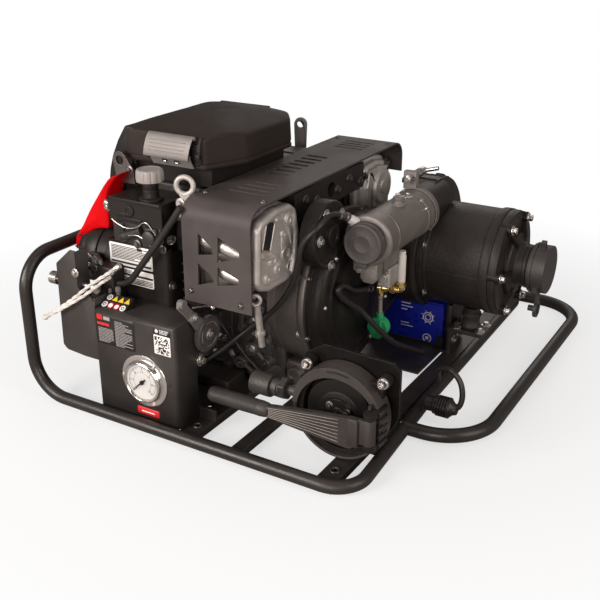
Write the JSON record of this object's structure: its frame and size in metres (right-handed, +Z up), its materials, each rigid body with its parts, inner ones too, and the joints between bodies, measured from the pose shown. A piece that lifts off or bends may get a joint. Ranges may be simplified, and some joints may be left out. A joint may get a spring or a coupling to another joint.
{
  "type": "portable fire pump",
  "caption": "Engine driven portable water pump on a low tube base: V-twin engine, belt drive, multistage pump, capped delivery, control panel, battery and hand lever primer.",
  "frame": {"origin": "centre of the footprint, on the ground plane under the cross bars", "axes": "+Z up, +X towards the pump inlet along the front rail, +Y away from the control panel"},
  "size_m": [0.695, 0.802, 0.447],
  "materials": {
    "frame_paint": "satin black",
    "panel_paint": "satin black",
    "guard_paint": "heat-darkened satin",
    "engine_cast": "rough cast",
    "head_cast": "rough cast",
    "bare_alloy": "as cast and machined",
    "exhaust_steel": "heat stained",
    "steel": "machined",
    "zinc_steel": "zinc plated",
    "dark_cast": "painted casting",
    "black_cast": "black painted casting",
    "grey_cast": "rough casting",
    "black_plastic": "moulded",
    "grey_plastic": "moulded",
    "red_plastic": "gloss moulded",
    "green_plastic": "moulded",
    "battery_case": "moulded",
    "filter_paper": "pleated",
    "belt_rubber": "moulded",
    "cap_rubber": "moulded",
    "hose_rubber": "smooth",
    "cable_black": "smooth",
    "bronze": "cast",
    "brass": "machined",
    "gauge_steel": "polished",
    "needle_black": "matt"
  },
  "bodies": {
    "chassis": {"base_frame": "frame_paint", "right_handle": "frame_paint", "engine_plate": "frame_paint", "crankcase": "engine_cast", "cylinders": "engine_cast", "heads": "head_cast", "port_cover_front": "bare_alloy", "port_cover_rear": "bare_alloy", "muffler": "exhaust_steel", "heat_guard": "guard_paint", "fan_housing": "black_plastic", "red_shroud": "red_plastic", "front_shroud": "black_plastic", "filler_box": "black_plastic", "air_base": "black_plastic", "air_element": "filter_paper", "air_cover": "black_plastic", "lifting_eyes": "zinc_steel", "bell_housing": "dark_cast", "belt_case": "black_cast", "belt_cover": "black_cast", "belt": "belt_rubber", "bearing_housing": "dark_cast", "diffusers": "head_cast", "volute": "black_cast", "barrel": "black_cast", "suction_head": "black_cast", "discharge_body": "bare_alloy", "clamp_band": "grey_cast", "drain_fitting": "brass", "control_panel": "panel_paint", "pressure_gauge": "gauge_steel", "battery": "battery_case", "battery_tray": "frame_paint", "pump_mount": "frame_paint", "primer_bracket": "panel_paint", "primer_body": "black_cast", "primer_valve": "dark_cast", "flange_bolts": "zinc_steel", "hoses": "hose_rubber", "wiring": "cable_black"},
    "crank": {"crankshaft": "steel", "fan": "black_plastic", "drive_pulley": "steel"},
    "rotor": {"pump_shaft": "steel", "impellers": "bronze", "pump_pulley": "steel"},
    "throttle": {"throttle_disc": "grey_plastic"},
    "choke": {"choke_knob": "zinc_steel"},
    "filler_lid": {"filler_cap": "grey_plastic"},
    "latch": {"latch_front": "zinc_steel"},
    "inlet_cap": {"suction_cap": "cap_rubber", "tether": "cap_rubber"},
    "outlet_cap": {"discharge_cap": "grey_cast"},
    "flap": {"check_flap": "bronze"},
    "outlet_handle": {"t_handle": "zinc_steel"},
    "drain_tap": {"drain_valve": "green_plastic"},
    "needle": {"gauge_needle": "needle_black"},
    "primer_arm": {"primer_lever": "black_cast"},
    "primer_piston": {"primer_diaphragm": "cap_rubber"}
  },
  "joints": [
    {"name": "crank_spin", "type": "hinge", "parent": "chassis", "child": "crank", "pos_m": [0, -0.088, 0.167], "axis": [1, 0, 0], "continuous": true},
    {"name": "pump_spin", "type": "hinge", "parent": "chassis", "child": "rotor", "pos_m": [0.15, 0.105, 0.187], "axis": [1, 0, 0], "continuous": true},
    {"name": "throttle_turn", "type": "hinge", "parent": "chassis", "child": "throttle", "pos_m": [-0.05, -0.31, 0.147], "axis": [1, 0, 0], "range_deg": [0, 45]},
    {"name": "choke_pull", "type": "slide", "parent": "chassis", "child": "choke", "axis": [-1, 0, 0], "range_m": [0, 0.015]},
    {"name": "filler_turn", "type": "hinge", "parent": "chassis", "child": "filler_lid", "pos_m": [-0.143, -0.309, 0.37], "axis": [0, 0, 1], "range_deg": [0, 120]},
    {"name": "latch_open", "type": "hinge", "parent": "chassis", "child": "latch", "pos_m": [-0.134, -0.265, 0.424], "axis": [-1, 0, 0], "range_deg": [0, 70]},
    {"name": "inlet_cap_off", "type": "slide", "parent": "chassis", "child": "inlet_cap", "axis": [1, 0, 0], "range_m": [0, 0.06]},
    {"name": "outlet_cap_off", "type": "slide", "parent": "chassis", "child": "outlet_cap", "axis": [0, -1, 0], "range_m": [0, 0.05]},
    {"name": "flap_open", "type": "hinge", "parent": "chassis", "child": "flap", "pos_m": [0.129, 0.018, 0.3015], "axis": [-1, 0, 0], "range_deg": [0, 38]},
    {"name": "outlet_handle_turn", "type": "hinge", "parent": "chassis", "child": "outlet_handle", "pos_m": [0.119, 0.04, 0.331], "axis": [0, 1, 0], "range_deg": [-12, 35]},
    {"name": "drain_open", "type": "hinge", "parent": "chassis", "child": "drain_tap", "pos_m": [0.112, -0.058, 0.098], "axis": [0, 0, 1], "range_deg": [0, 90]},
    {"name": "needle_sweep", "type": "hinge", "parent": "chassis", "child": "needle", "pos_m": [-0.118, -0.388, 0.081], "axis": [0, 1, 0], "range_deg": [0, 270]},
    {"name": "primer_stroke", "type": "hinge", "parent": "chassis", "child": "primer_arm", "pos_m": [0.238, -0.345, 0.084], "axis": [0, 0, 1], "range_deg": [0, 22]},
    {"name": "primer_draw", "type": "slide", "parent": "chassis", "child": "primer_piston", "axis": [0, -1, 0], "range_m": [0, 0.0235]}
  ],
  "couplings": [
    {"joint": "pump_spin", "follows": "crank_spin", "ratio": 1.5},
    {"joint": "primer_draw", "follows": "primer_stroke", "m_per_rad": 0.06}
  ]
}
